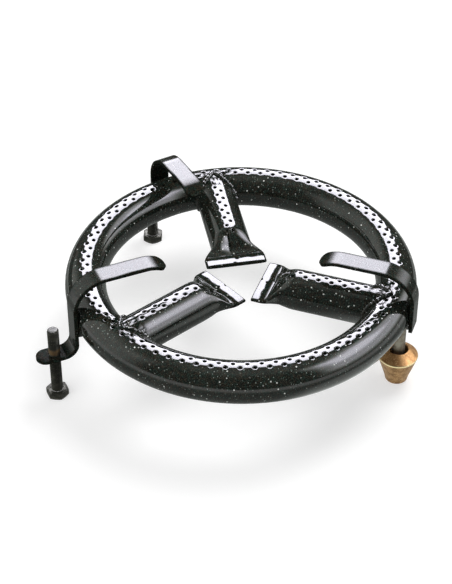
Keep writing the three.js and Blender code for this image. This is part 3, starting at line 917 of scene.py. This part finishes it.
def bolt(angle, length):
    """Head, shank and bare end as one bmesh."""
    bm = bmesh.new()
    layer = bm.verts.layers.float.new("bare")
    spot = turned_about([(BOLT_RADIUS, 0, 0)], angle)[0]
    add_skin(bm, hex_head(), angle, spot, layer, None)
    add_skin(bm, threaded_shank(length), angle, spot, layer, None)
    add_skin(bm, bolt_end(length), angle, spot, layer, lambda point: 1.0)
    bmesh.ops.remove_doubles(bm, verts=bm.verts, dist=1e-6)
    bmesh.ops.dissolve_degenerate(bm, edges=bm.edges, dist=1e-6)
    return bm


for side, length in SHANK_LENGTHS.items():
    keep(bolt(BRACKETS[side][0], length), f"level_bolt_{side}", BLACK_OXIDE, f"bolt_{side}",
         [f"levelling_bolt_{side}"], crease=32)

# %% [markdown]
# ## The mixer cup and its pipe
# The cup is turned from a brass bar, so it is drawn as a profile and revolved: a narrow base, a bell that
# widens to the rim, a rounded rim and a deep mouth with the pipe's socket at the bottom. Each corner of
# the profile is softened by a small arc, which is what catches the light on a real turned part. The pipe
# is made the same way, and ends inside the ring's tube under a bead of its own. Booleans drill the supply's
# socket and the air holes. The jet inside the cup keeps its solid and gets the brass.

# %% Turned parts
CUP_RADIUS, CUP_ANGLE = 141.5, 341.5
CORNER_STEPS = 4
CUP_OUTLINE = [             # radius, height above the ground and, where it isn't 0.6, the corner's own radius
    (0.6, 11.5, 0), (3.0, 11.5), (3.0, 14), (5.7, 14), (5.7, 18.5), (8, 18.5), (8, 32.4, 0.5), (8.9, 33, 0.4),
    (17.0, 26.6, 0.3), (17.2, 26, 0.25), (17.0, 25, 0.3), (10.4, 4.5, 1), (9.75, 1, 0.8), (9.2, 0, 0.3),
    (1.5, 0, 0.3), (1.5, 6, 0), (0.6, 6.2, 0)]
PIPE_RADIUS, PIPE_BORE, PIPE_FOOT = 5.5, 3.75, GROUND + 14.3
PIPE_TOP = -9.0             # inside the ring's tube, past the lowest place where the two meet
SEAM_RADIUS, SEAM_DROP = 5.6, 0.3


def softened(profile, radius):
    """A profile whose inner corners are arcs. Each entry is (r, z) or (r, z, its own corner radius)."""
    out = []
    for i, knot in enumerate(profile):
        point = Vector(knot[:2])
        corner = knot[2] if len(knot) > 2 else radius
        if i in (0, len(profile) - 1) or corner == 0:
            out.append(point)
            continue
        before, after = Vector(profile[i - 1][:2]) - point, Vector(profile[i + 1][:2]) - point
        reach = min(corner, before.length * 0.45, after.length * 0.45)
        a, b = point + before.normalized() * reach, point + after.normalized() * reach
        for k in range(CORNER_STEPS + 1):
            u = k / CORNER_STEPS
            out.append(a * (1 - u) ** 2 + point * 2 * u * (1 - u) + b * u ** 2)
    return out


def revolved(profile, sides):
    skin = Skin()
    skin.strips([disc(skin, radius, height, full_turn(sides)) for radius, height in profile])
    return skin


def drill(piece, origin, direction, radius, depth):
    """Cuts a round hole, in mm about the ring's centre, and applies the cut at once."""
    bm = bmesh.new()
    turn = direction.to_track_quat("Z", "Y").to_matrix().to_4x4()
    middle = origin + direction.normalized() * depth / 2
    bmesh.ops.create_cone(bm, cap_ends=True, segments=40, radius1=radius * MM, radius2=radius * MM,
                          depth=depth * MM, matrix=Matrix.Translation(middle * MM + CENTRE) @ turn)
    mesh = mesh_from(bm, "drill")
    cutter = linked("drill", mesh)
    cut = piece.modifiers.new("hole", "BOOLEAN")
    cut.operation, cut.object, cut.solver = "DIFFERENCE", cutter, "EXACT"
    bpy.context.view_layer.update()
    evaluated = piece.evaluated_get(bpy.context.evaluated_depsgraph_get())
    drilled = bpy.data.meshes.new_from_object(evaluated)
    piece.modifiers.clear()
    piece.data = drilled
    shade(drilled, 40)
    print(f"{piece.name} drilled, {len(drilled.polygons)} faces")
    bpy.data.objects.remove(cutter)
    bpy.data.meshes.remove(mesh)


cup_spot = turned_about([(CUP_RADIUS, 0, 0)], CUP_ANGLE)[0]
cup_profile = softened([(r, GROUND + z, *corner) for r, z, *corner in CUP_OUTLINE], 0.6)
cup_skin = revolved(cup_profile + cup_profile[:1], 96)
cup = skin_piece(cup_skin, "cup", ["mixer_cup"], BRASS, shift=cup_spot)
drill(cup, cup_spot + Vector((0, 0, GROUND + 6)), Vector((0, 1, 0)), radius=4, depth=20)

pipe_ends = [(PIPE_RADIUS, PIPE_FOOT), (PIPE_RADIUS, PIPE_TOP), (PIPE_BORE, PIPE_TOP), (PIPE_BORE, PIPE_FOOT)]
pipe_skin = revolved(softened(pipe_ends + pipe_ends[:1], 0.4), 64)
pipe = skin_piece(pipe_skin, "feed_pipe", ["inlet_pipe"], PIPE_STEEL, shift=cup_spot)
seam = []
for around in full_turn(60):
    x, y = CUP_RADIUS + SEAM_RADIUS * cos(around), SEAM_RADIUS * sin(around)
    seam.append(Vector((x, y, -sqrt(TUBE ** 2 - (hypot(x, y) - RING) ** 2) - SEAM_DROP)))
skin_piece(bead(seam, radius=1.5, seed=5.0), "weld_pipe", angle=CUP_ANGLE, crease=80)
for turn in (CUP_ANGLE, CUP_ANGLE + 90):
    sideways = turned_about([(1, 0, 0)], turn)[0]
    drill(pipe, cup_spot + Vector((0, 0, GROUND + 22.5)) - sideways * 8, sideways, radius=2, depth=16)
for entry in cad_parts["gas_jet"].material_slots:
    entry.material = BRASS
print("cup", [round(v, 1) for v in cup_spot])

# %% [markdown]
# ## The floor
# The photograph was taken on white. The floor is white paper that keeps a soft shadow, and a faint glow,
# which the camera and every gloss see alike, carries it up to white.

# %% Floor
PAPER, PAPER_GLOW = 0.56, 0.53
WHITE = (1, 1, 1, 1)


def seen_directly(wire):
    """1 for what the camera sees, also by way of gloss or through glass, and 0 for the light that spreads."""
    path = wire.node("ShaderNodeLightPath", output="Is Camera Ray")
    gloss_or_glass = path.math("MAXIMUM", path.other("Is Glossy Ray"), path.other("Is Transmission Ray"))
    return path.math("MAXIMUM", path, gloss_or_glass)


def staged(name, bm, material):
    """A mesh that stands round the burner and is no part of it."""
    shown = linked(name, mesh_from(bm, name))
    shown.data.materials.append(material)
    return shown


paper, place = new_material("white_paper")
white = place.node("ShaderNodeBsdfDiffuse", {"Color": (PAPER, PAPER, PAPER, 1)})
glow = place.node("ShaderNodeEmission", {"Color": WHITE, "Strength": seen_directly(place) * PAPER_GLOW})
surface_of(paper, place.node("ShaderNodeAddShader", {0: white, 1: glow}))
bm = bmesh.new()
bmesh.ops.create_grid(bm, x_segments=1, y_segments=1, size=6)
staged("floor", bm, paper)

# %% [markdown]
# ## What the gloss sees
# Black enamel has hardly any colour of its own, so the picture on it is the room. The photograph's room
# can be read back from the ring: a bright window behind it, which draws the white band on every tube, a
# second, softer one to the right, a pale wall on the left, and dimness elsewhere. A dome that only gloss
# sees holds that room. Its shader works out the azimuth and the elevation of each point, and every light
# in it is a product of two soft steps. Two more cards that only gloss sees darken the white floor: one
# upright behind the burner, and one flat under it, which stays white in front of the brass cup.

# %% Dome and cards
ROOM_GLOW, SKYLIGHT, DARK_CARD, GREY_CARD = 0.1, 0.36, 0.08, 0.3
ROOM_LIGHTS = [             # middle and half size in azimuth and elevation, fade (all degrees), strength
    ((-78, 20), (38, 34), 12, 0.9), ((95, 5), (35, 20), 12, 0.4), ((88, 36), (38, 24), 9, 4.2),
    ((92, 46), (24, 11), 7, 6), ((-0.3, 40), (19.7, 20), 1.2, 17)]
DIM_LIGHT, WINDOW_LIGHT, CARD_LIGHT = (0.97, 1.0, 0.95), (0.92, 0.905, 1.0), (0.95, 1, 0.96, 1)


def room_light(azimuth, elevation, middle, half, soft):
    """1 inside a rectangle of the dome, in degrees, that fades to 0 over soft degrees at its edges."""
    shares = []
    for angle, centre, size in zip((azimuth, elevation), middle, half):
        off = angle - centre
        shares.append(1 - off.math("ABSOLUTE", off).between(size - soft, size + soft))
    return shares[0] * shares[1]


dome_material, place = new_material("room")
split = place.node("ShaderNodeSeparateXYZ", {0: place})
x, y, z = (split.other(axis) for axis in "XYZ")
azimuth = x.math("ARCTAN2", x, y) * (180 / pi)
flat = x * x + y * y
elevation = z.math("ARCTAN2", z, flat.math("SQRT", flat)) * (180 / pi)
room = ROOM_GLOW + elevation.between(55, 85) * SKYLIGHT
for middle, half, soft, power in ROOM_LIGHTS:
    room = room + room_light(azimuth, elevation, middle, half, soft) * power
daylight = room.between(0.5, 6).mixed(DIM_LIGHT, WINDOW_LIGHT)
surface_of(dome_material, place.node("ShaderNodeEmission", {"Color": daylight, "Strength": room}))

bm = bmesh.new()
bmesh.ops.create_uvsphere(bm, u_segments=64, v_segments=32, radius=4.0)
bmesh.ops.delete(bm, geom=[v for v in bm.verts if v.co.z < -0.01], context="VERTS")
dome = staged("room_dome", bm, dome_material)


def card(name, bm, strength):
    """A card that gives off strength(place)."""
    material, place = new_material(name)
    surface_of(material, place.node("ShaderNodeEmission", {"Color": CARD_LIGHT, "Strength": strength(place)}))
    return staged(name, bm, material)


bm = bmesh.new()
bent = [radians(10 + 5 * k) for k in range(33)]
rows = [[bm.verts.new(polar(0.42, a, z)) for a in bent] for z in (0.001, 0.13)]
for k in range(len(bent) - 1):
    bm.faces.new((rows[0][k], rows[0][k + 1], rows[1][k + 1], rows[1][k]))
card_behind = card("dark_card", bm, lambda place: DARK_CARD)

cup_front = cup_spot * MM + CENTRE + Vector((0.01, -0.06, 0))
cup_front.z = 0


def grey_below(place):
    """Grey under the ring, and the floor's own white in front of the brass cup and far out."""
    def away(middle):
        return place.node("ShaderNodeVectorMath", {0: place, 1: middle}, {"operation": "DISTANCE"}, 1)
    far_out = away(CENTRE).between(0.3, 0.45)
    white = place.math("MAXIMUM", far_out, 1 - away(cup_front).between(0.06, 0.12))
    return GREY_CARD + white * (1 - GREY_CARD)


bm = bmesh.new()
middle = Matrix.Translation((CENTRE.x, CENTRE.y, 0.002))
bmesh.ops.create_circle(bm, cap_ends=True, segments=64, radius=0.46, matrix=middle)
card_below = card("grey_card", bm, grey_below)

for shown in (dome, card_behind, card_below):
    shown.visible_camera = shown.visible_diffuse = shown.visible_shadow = False

# %% [markdown]
# ## Plain light
# What isn't gloss is lit by two large soft lamps and an even sky, at a level at which a colour renders as
# it is written. Gloss doesn't see the lamps, because the dome holds what it should see.

# %% Lamps and world
SKY = 0.42


def lamp(name, place, size, power):
    """A round soft lamp that is aimed at the middle of the floor."""
    data = bpy.data.lights.new(name, "AREA")
    data.shape, data.size, data.energy = "DISK", size, power
    shown = linked(name, data)
    turn = (-Vector(place)).to_track_quat("-Z", "Y").to_matrix().to_4x4()
    shown.matrix_world = Matrix.Translation(place) @ turn
    shown.visible_glossy = False


lamp("key", (0.9, 1.0, 2.2), size=1.6, power=42)
lamp("fill", (-1.4, -0.9, 2.0), size=2.2, power=22)

world = bpy.data.worlds.new("studio")
bpy.context.scene.world = world
world.use_nodes = True
tree = world.node_tree
tree.nodes.clear()
start = Wire(tree, None)
strength = SKY + seen_directly(start) * (1 - SKY)
sky = start.node("ShaderNodeBackground", {"Color": WHITE, "Strength": strength})
tree.links.new(sky.socket, tree.nodes.new("ShaderNodeOutputWorld").inputs["Surface"])
bpy.context.scene.view_settings.view_transform = "Standard"
print("lamps and sky are on")
